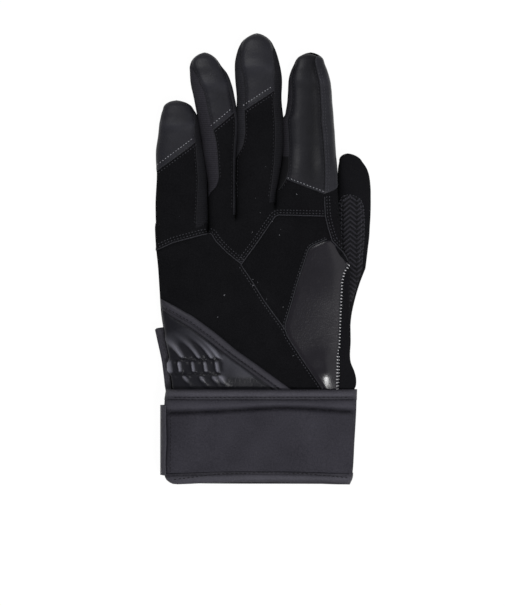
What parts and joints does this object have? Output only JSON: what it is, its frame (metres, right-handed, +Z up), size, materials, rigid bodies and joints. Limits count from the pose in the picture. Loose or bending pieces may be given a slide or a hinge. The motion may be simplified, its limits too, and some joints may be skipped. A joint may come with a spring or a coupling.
{
  "type": "fielding glove",
  "caption": "Thin fielding glove for a right hand, sewn from suede, leather and stretch panels, with a hinged finger each, a spreading thumb and a cuff closed by a hook-and-loop strap.",
  "frame": {"origin": "centre of the glove's outline on the surface that it lies on", "axes": "+X towards the thumb, +Y towards the fingertips, +Z up through the palm, which faces up"},
  "size_m": [0.1186, 0.248, 0.0236],
  "materials": {
    "suede": "matte napped suede",
    "smooth_leather": "smooth fine-grained synthetic leather",
    "glossy_leather": "polished smooth leather",
    "stretch_fabric": "fine knitted stretch fabric",
    "ribbed_grip": "ribbed herringbone fabric",
    "neoprene": "knit-faced neoprene",
    "binding": "smooth woven binding tape",
    "elastic": "woven elastic tape",
    "hook_and_loop": "hook-and-loop pile"
  },
  "bodies": {
    "glove": {"hand_back_panel": "stretch_fabric", "palm_knuckle_panel": "suede", "index_root_panel": "suede", "palm_centre_panel": "suede", "palm_heel_panel": "suede", "thenar_patch": "glossy_leather", "thumb_side_panel": "suede", "wrist_panel": "smooth_leather", "wrist_panel_binding": "binding", "wrist_elastic": "elastic", "cuff_top_binding": "binding", "cuff_band": "neoprene", "cuff_bottom_binding": "binding", "loop_patch": "hook_and_loop", "strap_anchor": "neoprene", "slit_binding": "binding"},
    "pinky_finger": {"pinky_front_panel": "suede", "pinky_tip_patch": "smooth_leather", "pinky_back_panel": "stretch_fabric", "pinky_right_fourchette": "stretch_fabric"},
    "ring_finger": {"ring_front_panel": "suede", "ring_tip_patch": "smooth_leather", "ring_back_panel": "stretch_fabric", "ring_left_fourchette": "stretch_fabric", "ring_right_fourchette": "stretch_fabric"},
    "middle_finger": {"middle_front_panel": "suede", "middle_tip_patch": "smooth_leather", "middle_back_panel": "stretch_fabric", "middle_left_fourchette": "stretch_fabric", "middle_right_fourchette": "stretch_fabric"},
    "index_finger": {"index_front_leather": "smooth_leather", "index_side_strip": "stretch_fabric", "index_back_panel": "stretch_fabric", "index_left_fourchette": "stretch_fabric"},
    "thumb": {"thumb_front_panel": "suede", "thumb_grip_insert": "ribbed_grip", "thumb_back_panel": "suede"},
    "strap": {"closure_strap": "neoprene", "hook_patch": "hook_and_loop"}
  },
  "joints": [
    {"name": "pinky_flex", "type": "hinge", "parent": "glove", "child": "pinky_finger", "pos_m": [-0.04744, 0.01684, 0.01518], "axis": [1, 0, 0], "range_deg": [0, 75]},
    {"name": "ring_flex", "type": "hinge", "parent": "glove", "child": "ring_finger", "pos_m": [-0.02198, 0.02451, 0.01806], "axis": [1, 0, 0], "range_deg": [0, 75]},
    {"name": "middle_flex", "type": "hinge", "parent": "glove", "child": "middle_finger", "pos_m": [-0.00304, 0.03055, 0.01972], "axis": [1, 0, 0], "range_deg": [0, 75]},
    {"name": "index_flex", "type": "hinge", "parent": "glove", "child": "index_finger", "pos_m": [0.02207, 0.03444, 0.02234], "axis": [1, 0, 0], "range_deg": [0, 75]},
    {"name": "thumb_spread", "type": "hinge", "parent": "glove", "child": "thumb", "pos_m": [0.05652, -0.005, 0.005], "axis": [0, 0, -1], "range_deg": [0, 35]},
    {"name": "strap_open", "type": "hinge", "parent": "glove", "child": "strap", "pos_m": [-0.05656, -0.09983, 0.0072], "axis": [0, 1, 0], "range_deg": [0, 150]}
  ]
}
